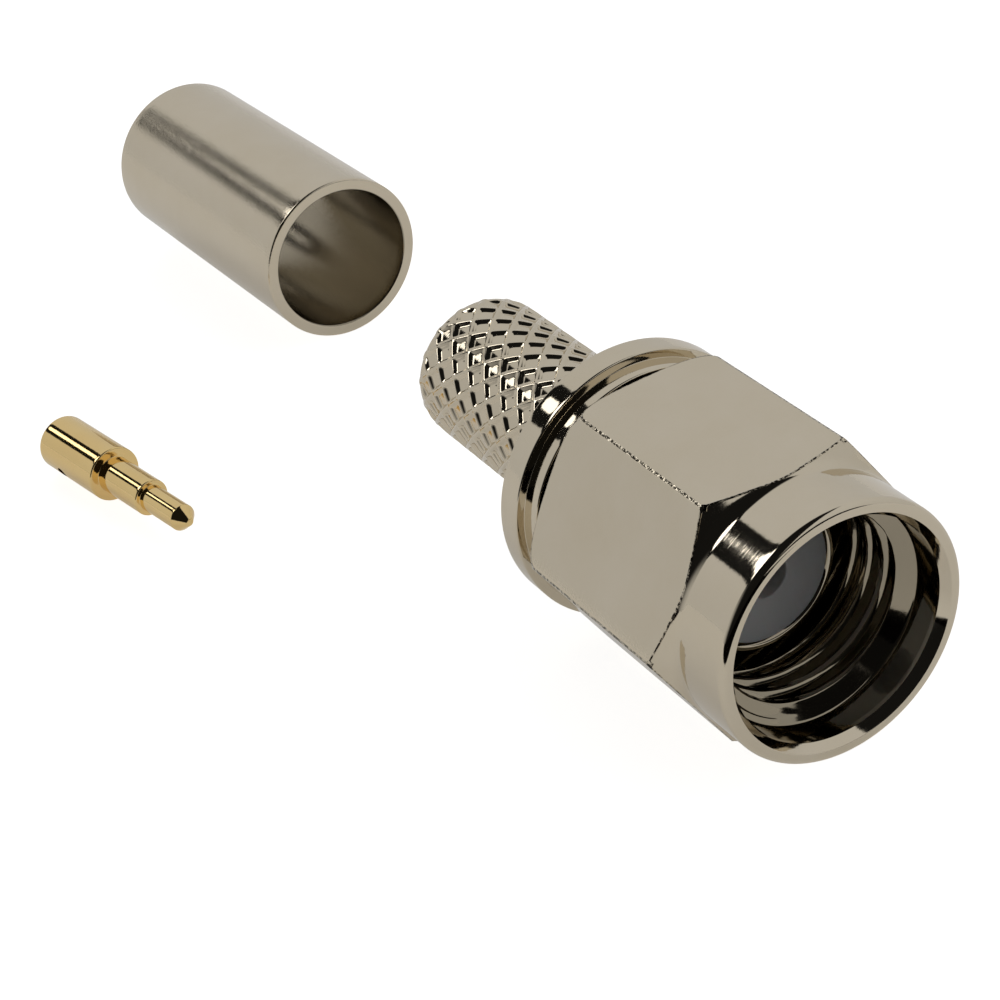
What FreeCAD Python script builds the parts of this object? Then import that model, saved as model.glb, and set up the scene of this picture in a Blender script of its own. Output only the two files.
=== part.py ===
"""Crimp-type SMA plug as it comes out of its bag: the body with its coupling nut, and the loose
crimp ferrule and centre contact lying behind it.

The X axis is the connector's axis and points to the mouth. X = 0 is the reference plane, where
the outer conductors of plug and jack meet. Z is up, and every piece lies on the plane Z = FLOOR.
All lengths are in millimetres.
"""
import FreeCAD, Part
import math
import os

Vec = FreeCAD.Vector
AXIS = Vec(1, 0, 0)

# Coupling nut, outside
NUT_ACROSS_FLATS = 8.0
NUT_FRONT = 3.53
NUT_LENGTH = 8.95
NUT_RING_DIAMETER = 7.87
NUT_RING_LENGTH = 2.13
NUT_RING_FOOT_ROUND = 0.45
NUT_FRONT_CHAMFER_DEG = 30.0
NUT_FRONT_ROUND = 0.21
NUT_REAR_ROUND = 0.7
NUT_HEX_EDGE_BREAK = 0.06

# Coupling nut, inside. The 1/4-36 thread is a smooth wall at its minor diameter.
THREAD_MINOR_DIAMETER = 5.66
THREAD_LENGTH = 2.0
THREAD_LEAD_IN = 0.3
COUNTERBORE_DIAMETER = 6.76
MOUTH_CHAMFER_DEPTH = 0.29
MOUTH_CHAMFER_WIDTH = 0.19
RELIEF_DIAMETER = 6.8
RELIEF_DEPTH = 3.05
RELIEF_CORNER_ROUND = 0.15
NUT_NECK_CLEARANCE = 0.08
NUT_REAR_HOLE_CHAMFER = 0.15

# Body, from the front
SLEEVE_DIAMETER = 4.6
SLEEVE_LENGTH = 2.0
INSULATOR_BORE_DIAMETER = 4.1
SLEEVE_EDGE_ROUND = 0.07
NECK_DIAMETER = 5.5
COLLAR_HUB_DIAMETER = 8.0
COLLAR_HUB_WIDTH = 0.63
COLLAR_GAP = 0.17
COLLAR_DIAMETER = 8.55
COLLAR_RIM_WIDTH = 0.88
COLLAR_EDGE_ROUND = 0.05
CABLE_BORE_DIAMETER = 3.1
CABLE_BORE_CHAMFER = 0.15

# Diamond knurl on the crimp stem: flat pads between two families of grooves
STEM_LENGTH = 8.4
STEM_DIAMETER = 4.79
KNURL_GROOVE_DEPTH = 0.2
KNURL_COUNT = 22
KNURL_HELIX_DEG = 30.0
KNURL_PAD_SHARE = 0.42
KNURL_ROOT_IN_COLLAR = 0.33

# Retaining ring between body and nut
RING_GROOVE_DEPTH = 0.35
RING_THICKNESS = 0.5
RING_OUTER_DIAMETER = 6.2
RING_SPLIT_WIDTH = 0.8
RING_SIDE_CLEARANCE = 0.05
RING_CLEARANCE = 0.1

# Sealing gasket around the neck, in front of the nut's inner flange
GASKET_OUTER_DIAMETER = 6.2
GASKET_THICKNESS = 0.75
GASKET_CLEARANCE = 0.02
GASKET_EDGE_ROUND = 0.12

# Centre contact
TIP_DIAMETER = 0.92
TIP_LENGTH = 1.88
TIP_CONE_LENGTH = 0.45
TIP_END_DIAMETER = 0.24
WAIST_DIAMETER = 1.27
WAIST_LENGTH = 2.33
BARREL_DIAMETER = 1.92
BARREL_LENGTH = 3.37
CONTACT_EDGE_ROUND = 0.06
CONDUCTOR_BORE_DIAMETER = 1.0
CONDUCTOR_BORE_DEPTH = 2.9
INSPECTION_HOLE_DIAMETER = 0.5
INSPECTION_HOLE_FROM_REAR = 1.2
INSPECTION_HOLE_TURN_DEG = -125.0

# Insulator: its two bores hold the contact's waist and barrel
INSULATOR_CLEARANCE = 0.01
CONTACT_CLEARANCE = 0.03
INSULATOR_SEAT_GAP = 0.05

# Crimp ferrule
FERRULE_BRAID_SPACE = 0.18
FERRULE_WALL = 0.425
FERRULE_LENGTH = 12.5
FERRULE_EDGE_ROUND = 0.12

# Where the loose pieces lie: the ferrule's middle, and the middle of the contact's length
FERRULE_X = -34.1
FERRULE_Y = 0.8
FERRULE_YAW_DEG = 2.0
CONTACT_X = -23.2
CONTACT_Y = -10.3
CONTACT_YAW_DEG = 9.1

# Places along the axis that several pieces share
NUT_REAR = NUT_FRONT - NUT_LENGTH
COLLAR_FRONT = NUT_REAR - COLLAR_GAP
COLLAR_STEP = COLLAR_FRONT - COLLAR_HUB_WIDTH
COLLAR_REAR = COLLAR_STEP - COLLAR_RIM_WIDTH
STEM_REAR = COLLAR_REAR - STEM_LENGTH
RING_FRONT = (NUT_REAR - RELIEF_DEPTH + RING_THICKNESS) / 2
RING_GROOVE_FRONT = RING_FRONT + RING_SIDE_CLEARANCE
RING_GROOVE_REAR = RING_FRONT - RING_THICKNESS - RING_SIDE_CLEARANCE
INSULATOR_REAR = -(WAIST_LENGTH + BARREL_LENGTH)
FLOOR = -COLLAR_DIAMETER / 2


def on_profile(x, radius):
    """A point of a turned profile: x along the axis, radius away from it."""
    return Vec(x, 0, radius)


def rounded_outline(corners):
    """Closed wire through corners (x, radius, round). Each corner gets a tangent arc of radius round."""
    points = [on_profile(x, radius) for x, radius, _ in corners]
    stops = []
    for i, (_, _, rounding) in enumerate(corners):
        corner = points[i]
        back = (points[i - 1] - corner).normalize()
        ahead = (points[(i + 1) % len(points)] - corner).normalize()
        if rounding <= 0:
            stops.append((corner, None, corner))
            continue
        half = back.getAngle(ahead) / 2
        tangent = rounding / math.tan(half)
        bisector = (back + ahead).normalize()
        middle = corner + bisector * (rounding / math.sin(half) - rounding)
        stops.append((corner + back * tangent, middle, corner + ahead * tangent))
    edges = []
    for i, (start, middle, end) in enumerate(stops):
        if middle is not None:
            edges.append(Part.Arc(start, middle, end).toShape())
        following = stops[(i + 1) % len(stops)][0]
        if end.distanceToPoint(following) > 1e-6:
            edges.append(Part.LineSegment(end, following).toShape())
    return Part.Wire(edges)


def turned(corners):
    """The solid that a lathe makes from a profile of (x, radius, round) corners."""
    face = Part.Face(rounded_outline(corners))
    return face.revolve(Vec(0, 0, 0), AXIS, 360)


def hexagonal_bar(across_flats, start, length, edge_break):
    """A bar along the axis with a flat underneath and its long edges broken."""
    corner_radius = across_flats / math.sqrt(3)
    turns = [math.radians(60 * i) for i in range(7)]
    ring = [Vec(start, corner_radius * math.cos(a), corner_radius * math.sin(a)) for a in turns]
    bar = Part.Face(Part.makePolygon(ring)).extrude(AXIS * length)
    long_edges = [edge for edge in bar.Edges if abs(edge.tangentAt(edge.FirstParameter).x) > 0.9]
    return bar.makeChamfer(edge_break, long_edges)


def nut_outside():
    """Hexagon whose corners run out into a turned front ring and a rounded rear end."""
    ring_radius = NUT_RING_DIAMETER / 2
    blank_radius = NUT_ACROSS_FLATS / math.sqrt(3)
    ring_foot = NUT_FRONT - NUT_RING_LENGTH
    front_run = (blank_radius - ring_radius) * math.tan(math.radians(NUT_FRONT_CHAMFER_DEG))
    blank = turned([
        (NUT_REAR, 0, 0),
        (NUT_REAR, blank_radius, NUT_REAR_ROUND),
        (ring_foot - front_run, blank_radius, 0),
        (ring_foot, ring_radius, NUT_RING_FOOT_ROUND),
        (NUT_FRONT, ring_radius, NUT_FRONT_ROUND),
        (NUT_FRONT, 0, 0),
    ])
    margin = 1.0
    bar = hexagonal_bar(
        NUT_ACROSS_FLATS, NUT_REAR - margin, NUT_LENGTH + 2 * margin, NUT_HEX_EDGE_BREAK)
    return blank.common(bar)


def nut_inside():
    """Everything bored out of the nut: mouth, thread, relief, flange hole and ring groove."""
    thread_radius = THREAD_MINOR_DIAMETER / 2
    counterbore_radius = COUNTERBORE_DIAMETER / 2
    mouth_radius = counterbore_radius + MOUTH_CHAMFER_WIDTH
    relief_radius = RELIEF_DIAMETER / 2
    hole_radius = NECK_DIAMETER / 2 + NUT_NECK_CLEARANCE
    groove_radius = RING_OUTER_DIAMETER / 2 + RING_CLEARANCE
    relief_slope = relief_radius - thread_radius
    margin = 1.0
    return turned([
        (NUT_FRONT + margin, 0, 0),
        (NUT_FRONT + margin, mouth_radius, 0),
        (NUT_FRONT, mouth_radius, 0),
        (NUT_FRONT - MOUTH_CHAMFER_DEPTH, counterbore_radius, 0),
        (THREAD_LENGTH + THREAD_LEAD_IN, counterbore_radius, 0),
        (THREAD_LENGTH, thread_radius, 0),
        (0, thread_radius, 0),
        (-relief_slope, relief_radius, 0),
        (-RELIEF_DEPTH, relief_radius, RELIEF_CORNER_ROUND),
        (-RELIEF_DEPTH, hole_radius, 0),
        (RING_GROOVE_FRONT, hole_radius, 0),
        (RING_GROOVE_FRONT, groove_radius, 0),
        (RING_GROOVE_REAR, groove_radius, 0),
        (RING_GROOVE_REAR, hole_radius, 0),
        (NUT_REAR + NUT_REAR_HOLE_CHAMFER, hole_radius, 0),
        (NUT_REAR, hole_radius + NUT_REAR_HOLE_CHAMFER, 0),
        (NUT_REAR - margin, hole_radius + NUT_REAR_HOLE_CHAMFER, 0),
        (NUT_REAR - margin, 0, 0),
    ])


def coupling_nut():
    return nut_outside().cut(nut_inside())


def knurl_point(column, row, radius, half_pitch_deg, first, half_row):
    """A point of the knurl's lattice: column counts half pitches round, row counts half pads along."""
    angle = math.radians(column * half_pitch_deg)
    return Vec(first + row * half_row, radius * math.cos(angle), radius * math.sin(angle))


def half_pad(column, row, way, lattice, root, crest):
    """Five facets of one pad's front or rear half: its flat top and the flanks of two grooves."""
    share = KNURL_PAD_SHARE
    left = lattice(column - share, row, crest)
    right = lattice(column + share, row, crest)
    peak = lattice(column, row + way * share, crest)
    left_root = lattice(column - 1, row, root)
    right_root = lattice(column + 1, row, root)
    peak_root = lattice(column, row + way, root)
    facets = [
        (left, right, peak),
        (right, right_root, peak_root),
        (right, peak_root, peak),
        (left_root, left, peak),
        (left_root, peak, peak_root),
    ]
    if way < 0:
        facets = [tuple(reversed(facet)) for facet in facets]
    return facets


def knurled_bar(start, end):
    """Closed bar from start back to end whose surface is a diamond knurl.

    The pads sit on a lattice: even rows on even columns, odd rows on odd columns. The lattice's
    other points are where two grooves cross, at the root diameter.
    """
    crest = STEM_DIAMETER / 2
    root = crest - KNURL_GROOVE_DEPTH
    half_pitch_deg = 180.0 / KNURL_COUNT
    ideal_row = math.radians(half_pitch_deg) * crest / math.tan(math.radians(KNURL_HELIX_DEG))
    rows = 2 * max(1, round((start - end) / (2 * ideal_row)))
    half_row = (start - end) / rows

    def lattice(column, row, radius):
        return knurl_point(column, row, radius, half_pitch_deg, end, half_row)

    facets = []
    for row in range(rows + 1):
        for column in range(row % 2, 2 * KNURL_COUNT, 2):
            if row < rows:
                facets += half_pad(column, row, 1, lattice, root, crest)
            if row > 0:
                facets += half_pad(column, row, -1, lattice, root, crest)
    faces = [Part.Face(Part.makePolygon([a, b, c, a])) for a, b, c in facets]
    for row in (0, rows):
        ring = []
        for column in range(0, 2 * KNURL_COUNT, 2):
            ring.append(lattice(column - KNURL_PAD_SHARE, row, crest))
            ring.append(lattice(column + KNURL_PAD_SHARE, row, crest))
            ring.append(lattice(column + 1, row, root))
        faces.append(Part.Face(Part.makePolygon(ring + ring[:1])))
    shell = Part.Shell(faces)
    shell.sewShape()
    bar = Part.Solid(Part.Shell(shell.Faces))
    if bar.Volume < 0:
        bar.reverse()
    return bar


def body_outside():
    """Sleeve, neck with the ring's groove, and stepped collar, turned in one piece."""
    sleeve_radius = SLEEVE_DIAMETER / 2
    neck_radius = NECK_DIAMETER / 2
    groove_radius = neck_radius - RING_GROOVE_DEPTH
    hub_radius = COLLAR_HUB_DIAMETER / 2
    collar_radius = COLLAR_DIAMETER / 2
    return turned([
        (0, 0, 0),
        (0, sleeve_radius, SLEEVE_EDGE_ROUND),
        (-SLEEVE_LENGTH, sleeve_radius, 0),
        (-SLEEVE_LENGTH, neck_radius, SLEEVE_EDGE_ROUND),
        (RING_GROOVE_FRONT, neck_radius, 0),
        (RING_GROOVE_FRONT, groove_radius, 0),
        (RING_GROOVE_REAR, groove_radius, 0),
        (RING_GROOVE_REAR, neck_radius, 0),
        (COLLAR_FRONT, neck_radius, 0),
        (COLLAR_FRONT, hub_radius, COLLAR_EDGE_ROUND),
        (COLLAR_STEP, hub_radius, 0),
        (COLLAR_STEP, collar_radius, COLLAR_EDGE_ROUND),
        (COLLAR_REAR, collar_radius, COLLAR_EDGE_ROUND),
        (COLLAR_REAR, 0, 0),
    ])


def body_inside():
    """Insulator bore from the front and cable bore from the rear."""
    insulator_radius = INSULATOR_BORE_DIAMETER / 2
    cable_radius = CABLE_BORE_DIAMETER / 2
    shoulder = INSULATOR_REAR - INSULATOR_SEAT_GAP
    margin = 1.0
    return turned([
        (margin, 0, 0),
        (margin, insulator_radius, 0),
        (shoulder, insulator_radius, 0),
        (shoulder, cable_radius, 0),
        (STEM_REAR + CABLE_BORE_CHAMFER, cable_radius, 0),
        (STEM_REAR, cable_radius + CABLE_BORE_CHAMFER, 0),
        (STEM_REAR - margin, cable_radius + CABLE_BORE_CHAMFER, 0),
        (STEM_REAR - margin, 0, 0),
    ])


def connector_body():
    stem = knurled_bar(COLLAR_REAR + KNURL_ROOT_IN_COLLAR, STEM_REAR)
    return body_outside().fuse(stem).cut(body_inside())


def retaining_ring():
    """Split ring that sits in the body's groove and reaches into the nut's."""
    inner_radius = NECK_DIAMETER / 2 - RING_GROOVE_DEPTH + RING_CLEARANCE
    outer_radius = RING_OUTER_DIAMETER / 2
    ring = turned([
        (RING_FRONT, inner_radius, 0),
        (RING_FRONT, outer_radius, 0),
        (RING_FRONT - RING_THICKNESS, outer_radius, 0),
        (RING_FRONT - RING_THICKNESS, inner_radius, 0),
    ])
    margin = 0.5
    split = Part.makeBox(
        RING_THICKNESS + 2 * margin, RING_SPLIT_WIDTH, outer_radius + margin,
        Vec(RING_FRONT - RING_THICKNESS - margin, -RING_SPLIT_WIDTH / 2, 0))
    return ring.cut(split)


def sealing_gasket():
    inner_radius = NECK_DIAMETER / 2 + GASKET_CLEARANCE
    outer_radius = GASKET_OUTER_DIAMETER / 2
    front = -SLEEVE_LENGTH
    rear = front - GASKET_THICKNESS
    return turned([
        (front, inner_radius, 0),
        (front, outer_radius, GASKET_EDGE_ROUND),
        (rear, outer_radius, GASKET_EDGE_ROUND),
        (rear, inner_radius, 0),
    ])


def insulator():
    """Plastic bead flush with the sleeve, with a narrow front bore and a wide rear bore."""
    outer_radius = INSULATOR_BORE_DIAMETER / 2 - INSULATOR_CLEARANCE
    front_bore = WAIST_DIAMETER / 2 + CONTACT_CLEARANCE
    rear_bore = BARREL_DIAMETER / 2 + CONTACT_CLEARANCE
    return turned([
        (0, front_bore, 0),
        (0, outer_radius, 0),
        (INSULATOR_REAR, outer_radius, 0),
        (INSULATOR_REAR, rear_bore, 0),
        (-WAIST_LENGTH, rear_bore, 0),
        (-WAIST_LENGTH, front_bore, 0),
    ])


def contact_at_origin():
    """Stepped contact from its rear face at x = 0 to its point, with the conductor's bore."""
    waist_start = BARREL_LENGTH
    tip_start = waist_start + WAIST_LENGTH
    cone_start = tip_start + TIP_LENGTH
    end = cone_start + TIP_CONE_LENGTH
    bore_radius = CONDUCTOR_BORE_DIAMETER / 2
    drill_point = bore_radius / math.tan(math.radians(59))
    contact = turned([
        (0, bore_radius, 0),
        (0, BARREL_DIAMETER / 2, CONTACT_EDGE_ROUND),
        (waist_start, BARREL_DIAMETER / 2, CONTACT_EDGE_ROUND),
        (waist_start, WAIST_DIAMETER / 2, 0),
        (tip_start, WAIST_DIAMETER / 2, CONTACT_EDGE_ROUND),
        (tip_start, TIP_DIAMETER / 2, 0),
        (cone_start, TIP_DIAMETER / 2, CONTACT_EDGE_ROUND),
        (end, TIP_END_DIAMETER / 2, 0),
        (end, 0, 0),
        (CONDUCTOR_BORE_DEPTH + drill_point, 0, 0),
        (CONDUCTOR_BORE_DEPTH, bore_radius, 0),
    ])
    turn = math.radians(INSPECTION_HOLE_TURN_DEG)
    drill = Part.makeCylinder(
        INSPECTION_HOLE_DIAMETER / 2, BARREL_DIAMETER,
        Vec(INSPECTION_HOLE_FROM_REAR, 0, 0), Vec(0, math.cos(turn), math.sin(turn)))
    return contact.cut(drill)


def laid_down(piece, x, y, height, yaw_deg):
    """The piece turned about the vertical by yaw_deg, with its own origin at x, y and height."""
    turn = FreeCAD.Rotation(Vec(0, 0, 1), yaw_deg)
    placed = piece.copy()
    placed.Placement = FreeCAD.Placement(Vec(x, y, height), turn)
    return placed


def centre_contact():
    """The loose contact, lying on its barrel."""
    half = (BARREL_LENGTH + WAIST_LENGTH + TIP_LENGTH + TIP_CONE_LENGTH) / 2
    yaw = math.radians(CONTACT_YAW_DEG)
    x = CONTACT_X - half * math.cos(yaw)
    y = CONTACT_Y - half * math.sin(yaw)
    return laid_down(contact_at_origin(), x, y, FLOOR + BARREL_DIAMETER / 2, CONTACT_YAW_DEG)


def crimp_ferrule():
    """The loose ferrule: a tube that clears the braid on the knurled stem, lying on its side."""
    inner_radius = STEM_DIAMETER / 2 + FERRULE_BRAID_SPACE
    outer_radius = inner_radius + FERRULE_WALL
    half = FERRULE_LENGTH / 2
    tube = turned([
        (-half, inner_radius, FERRULE_EDGE_ROUND),
        (-half, outer_radius, FERRULE_EDGE_ROUND),
        (half, outer_radius, FERRULE_EDGE_ROUND),
        (half, inner_radius, FERRULE_EDGE_ROUND),
    ])
    return laid_down(tube, FERRULE_X, FERRULE_Y, FLOOR + outer_radius, FERRULE_YAW_DEG)


PIECES = {
    "connector_body": connector_body,
    "coupling_nut": coupling_nut,
    "retaining_ring": retaining_ring,
    "sealing_gasket": sealing_gasket,
    "insulator": insulator,
    "centre_contact": centre_contact,
    "crimp_ferrule": crimp_ferrule,
}


def main():
    os.makedirs("parts", exist_ok=True)
    for name, make in PIECES.items():
        shape = make()
        solids = shape.Solids
        if len(solids) != 1 or not shape.isValid():
            raise ValueError(f"{name}: {len(solids)} solids, valid {shape.isValid()}")
        solids[0].exportStep(f"parts/{name}.step")
        print(f"{name}: {solids[0].Volume:.2f} mm3, {len(solids[0].Faces)} faces")


main()
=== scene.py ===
"""The looks of a crimp-type SMA plug: nickel-plated body, coupling nut and ferrule, gold contact.

The pieces are built round the CAD frame, in metres. X is the connector's axis, out of the mouth.
"""

import math

import bmesh
import bpy
import numpy as np
from mathutils import Matrix, Vector


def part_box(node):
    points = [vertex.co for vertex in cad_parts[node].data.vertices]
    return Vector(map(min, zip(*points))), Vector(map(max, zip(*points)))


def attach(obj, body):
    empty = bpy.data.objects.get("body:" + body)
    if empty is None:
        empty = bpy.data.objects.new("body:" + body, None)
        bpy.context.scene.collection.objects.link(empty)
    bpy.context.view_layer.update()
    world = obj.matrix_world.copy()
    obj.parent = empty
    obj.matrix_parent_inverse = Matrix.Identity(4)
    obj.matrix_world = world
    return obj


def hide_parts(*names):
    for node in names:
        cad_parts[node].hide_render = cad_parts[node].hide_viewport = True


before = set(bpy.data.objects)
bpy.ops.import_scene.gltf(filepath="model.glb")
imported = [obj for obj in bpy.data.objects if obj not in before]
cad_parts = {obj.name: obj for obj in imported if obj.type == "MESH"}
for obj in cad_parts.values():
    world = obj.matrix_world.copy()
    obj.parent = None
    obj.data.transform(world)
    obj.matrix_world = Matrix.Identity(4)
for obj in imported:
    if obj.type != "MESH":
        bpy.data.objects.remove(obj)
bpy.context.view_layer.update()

bl_info = {
    "name": "SMA crimp plug",
    "version": (1, 0, 0),
    "blender": (4, 5, 0),
    "location": "3D View > Sidebar > SMA Plug",
    "description": "Builds the plug's plated pieces, its insulator and a plain studio",
    "category": "Object",
}

MM = 0.001
FULL_TURN = 2 * math.pi
SIXTH = FULL_TURN / 6
CONNECTOR = "connector"
NUT = "nut"

# Places that the frame gives
NUT_LOW, NUT_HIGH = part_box("coupling_nut")
BODY_LOW, BODY_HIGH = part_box("connector_body")
INSULATOR_LOW, INSULATOR_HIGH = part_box("insulator")
FERRULE_LOW, FERRULE_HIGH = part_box("crimp_ferrule")
CONTACT_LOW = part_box("centre_contact")[0]
FLOOR_HEIGHT = BODY_LOW.z


def length(name, description, millimetres):
    """A length property whose default is given in millimetres."""
    return bpy.props.FloatProperty(
        name=name, description=description, default=millimetres * MM, unit="LENGTH", min=0.0)


def angle(name, description, degrees):
    """An angle property whose default is given in degrees."""
    return bpy.props.FloatProperty(
        name=name, description=description, default=math.radians(degrees), unit="ROTATION")


def linear(hex_colour):
    """The linear red, green and blue of an sRGB hex colour."""
    channels = [int(hex_colour[i:i + 2], 16) / 255 for i in (1, 3, 5)]
    return tuple(c / 12.92 if c <= 0.04045 else ((c + 0.055) / 1.055) ** 2.4 for c in channels)


def colour(name, description, hex_colour):
    """A colour property whose default is an sRGB hex colour."""
    return bpy.props.FloatVectorProperty(
        name=name, description=description, default=linear(hex_colour),
        subtype="COLOR", size=3, min=0.0, max=1.0)


class NutSizes(bpy.types.PropertyGroup):
    ring_radius: length("Ring radius", "Turned ring in front of the hexagon", 3.935)
    ring_length: length("Ring length", "From the mouth to the foot of the corner chamfer", 2.13)
    ring_foot_round: length("Ring foot round", "Hollow rounding at the ring's foot", 0.45)
    front_chamfer: angle("Front chamfer", "Slope of the corners' front chamfer", 30)
    front_round: length("Front round", "Rounding of the ring's front edge", 0.21)
    rear_round: length("Rear round", "Rounding of the nut's rear end", 0.7)
    hex_edge_break: length("Hexagon edge break", "Depth taken off the six long edges", 0.042)
    flat_roll_off: length("Flat roll-off", "Depth tumbled off beside the long edges", 0.006)
    edge_wear: length("Edge wear", "Width worn off where the turned ends cut the flats", 0.03)
    mouth_radius: length("Mouth radius", "Widest radius of the mouth's chamfer", 3.57)
    mouth_chamfer: length("Mouth chamfer", "Depth of the mouth's chamfer", 0.29)
    counterbore_radius: length("Counterbore radius", "Smooth stretch in front of the thread", 3.38)
    thread_front: length("Thread front", "Front end of the thread, from the reference plane", 2.0)
    thread_minor: length("Thread minor radius", "Radius over the crests of the thread", 2.83)
    thread_major: length("Thread major radius", "Radius at the roots of the thread", 3.2)
    thread_pitch: length("Thread pitch", "36 turns to the inch", 0.7056)
    lead_in: length("Lead-in", "Cone from the counterbore to the thread", 0.3)
    relief_radius: length("Relief radius", "Bore behind the thread", 3.4)
    relief_depth: length("Relief depth", "Inner flange's face, behind the reference plane", 3.05)
    relief_round: length("Relief round", "Rounding in the corner of the relief", 0.15)
    hole_radius: length("Hole radius", "Hole through the nut's inner flange", 2.83)
    hole_chamfer: length("Hole chamfer", "Chamfer at the rear end of the hole", 0.15)


class BodySizes(bpy.types.PropertyGroup):
    sleeve_radius: length("Sleeve radius", "Outer conductor at the front", 2.3)
    sleeve_length: length("Sleeve length", "From the reference plane to the neck", 2.0)
    sleeve_round: length("Sleeve edge round", "Rounding of the sleeve's and the neck's edge", 0.07)
    bore_radius: length("Insulator bore", "Radius of the bore for the insulator", 2.05)
    bore_depth: length("Insulator bore depth", "Depth of the bore for the insulator", 5.75)
    neck_radius: length("Neck radius", "Neck that the nut turns on", 2.75)
    hub_front: length("Hub front", "Front of the collar's hub, behind the reference plane", 5.59)
    hub_radius: length("Hub radius", "Low step in front of the collar's rim", 4.0)
    rim_front: length("Rim front", "Front of the collar's rim, behind the reference plane", 6.22)
    rim_rear: length("Rim rear", "Rear of the collar's rim, behind the reference plane", 7.1)
    collar_round: length("Collar edge round", "Rounding of the collar's edges", 0.05)
    stem_radius: length("Stem radius", "Over the ridges of the knurl", 2.395)
    pit_depth: length("Pit depth", "Depth of the knurl's pits", 0.09)
    cable_radius: length("Cable bore", "Radius of the bore for the cable", 1.55)
    cable_chamfer: length("Cable bore chamfer", "Chamfer at the rear end of the bore", 0.15)
    knurl_count: bpy.props.IntProperty(
        name="Pits around", description="Pits in one ring of the knurl", default=16, min=3)
    knurl_rows: bpy.props.IntProperty(
        name="Half rows", description="Half pits along the stem", default=17, min=2)
    ridge_share: bpy.props.FloatProperty(
        name="Ridge share", description="Width of a ridge's flat top as a share of its pitch",
        default=0.11, min=0.0, max=0.9)
    floor_start: bpy.props.FloatProperty(
        name="Floor start", description="Share of the way to a pit's middle where its floor starts",
        default=0.38, min=0.1, max=1.0)


class InsulatorSizes(bpy.types.PropertyGroup):
    play: length("Play", "Room round the contact in the bead's bores", 0.03)
    edge_round: length("Edge round", "Rounding of the bead's edges", 0.05)


class ContactSizes(bpy.types.PropertyGroup):
    barrel_radius: length("Barrel radius", "Rear barrel for the cable's conductor", 0.96)
    barrel_length: length("Barrel length", "Length of the barrel", 3.37)
    waist_radius: length("Waist radius", "Middle step, held by the insulator", 0.635)
    waist_length: length("Waist length", "Length of the middle step", 2.33)
    tip_radius: length("Tip radius", "Front pin", 0.46)
    tip_length: length("Tip length", "Front pin without its cone", 1.88)
    cone_length: length("Cone length", "Cone at the front end", 0.45)
    end_radius: length("End radius", "Blunt end of the cone", 0.12)
    bore_radius: length("Conductor bore", "Radius of the bore in the barrel", 0.5)
    bore_depth: length("Bore depth", "Depth of the bore in the barrel", 2.9)
    edge_round: length("Edge round", "Rounding of the steps' edges", 0.05)
    hole_radius: length("Inspection hole", "Radius of the solder hole", 0.25)
    hole_from_rear: length("Hole place", "Inspection hole from the rear face", 1.2)
    hole_turn: angle("Hole turn", "Turn of the inspection hole round the barrel", -157)
    yaw: angle("Yaw", "Turn of the loose contact on the floor", 9.1)


class FerruleSizes(bpy.types.PropertyGroup):
    inner_radius: length("Inner radius", "Bore that slides over braid and stem", 2.575)
    outer_radius: length("Outer radius", "Outside of the tube", 3.0)
    tube_length: length("Length", "Length of the tube", 12.5)
    edge_round: length("Edge round", "Rounding of the tube's edges", 0.07)
    yaw: angle("Yaw", "Turn of the loose ferrule on the floor", 2)


class Finishes(bpy.types.PropertyGroup):
    nickel: colour("Nickel", "Nickel plating over brass", "#DCD2BF")
    nickel_shade: colour("Nickel, older", "Nickel plating where it is a little yellowed", "#D3C7AF")
    gold: colour("Gold", "Gold plating over nickel", "#F8DDA0")
    gold_shade: colour("Gold, thinner", "Gold plating where it is thinner", "#F0CD8A")
    ptfe: colour("PTFE", "Turned white insulator", "#C9CACC")
    rubber: colour("Rubber", "Black gasket", "#17181A")
    bronze: colour("Bronze", "Spring bronze of the retaining ring", "#B98F5A")


# Outlines and surfaces

def rounded_line(corners, arc_step=0.03 * MM, closed=True):
    """Points of a profile through (x, radius, round) corners.

    A round corner becomes a circular arc that is tangent to both its runs: it starts at
    round / tan(half the angle) from the corner, and its centre lies on the angle's bisector.
    Its points are about arc_step apart.
    """
    points = np.array([(x, r) for x, r, _ in corners], float)
    line = []
    for i, (_, _, rounding) in enumerate(corners):
        at_end = not closed and i in (0, len(corners) - 1)
        if rounding <= 0 or at_end:
            line.append(points[i])
            continue
        back = points[i - 1] - points[i]
        ahead = points[(i + 1) % len(points)] - points[i]
        back /= np.linalg.norm(back)
        ahead /= np.linalg.norm(ahead)
        half = math.acos(np.clip(back @ ahead, -1, 1)) / 2
        bisector = (back + ahead) / np.linalg.norm(back + ahead)
        centre = points[i] + bisector * rounding / math.sin(half)
        start = points[i] + back * rounding / math.tan(half) - centre
        end = points[i] + ahead * rounding / math.tan(half) - centre
        sweep = math.pi - 2 * half
        steps = max(5, math.ceil(rounding * sweep / arc_step))
        share = np.linspace(0, 1, steps + 1)[:, None]
        arc = np.sin((1 - share) * sweep) * start + np.sin(share * sweep) * end
        line.extend(centre + arc / math.sin(sweep))
    return np.array(line)


def divided(line, longest, closed=True):
    """The same profile with every run cut into equal steps no longer than longest."""
    ends = np.roll(line, -1, axis=0)
    runs = len(line) if closed else len(line) - 1
    pieces = []
    for start, end in zip(line[:runs], ends[:runs]):
        count = max(1, math.ceil(np.linalg.norm(end - start) / longest - 1e-6))
        pieces.append(start + (end - start) * np.arange(count)[:, None] / count)
    if not closed:
        pieces.append(line[-1:])
    return np.vstack(pieces)


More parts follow.
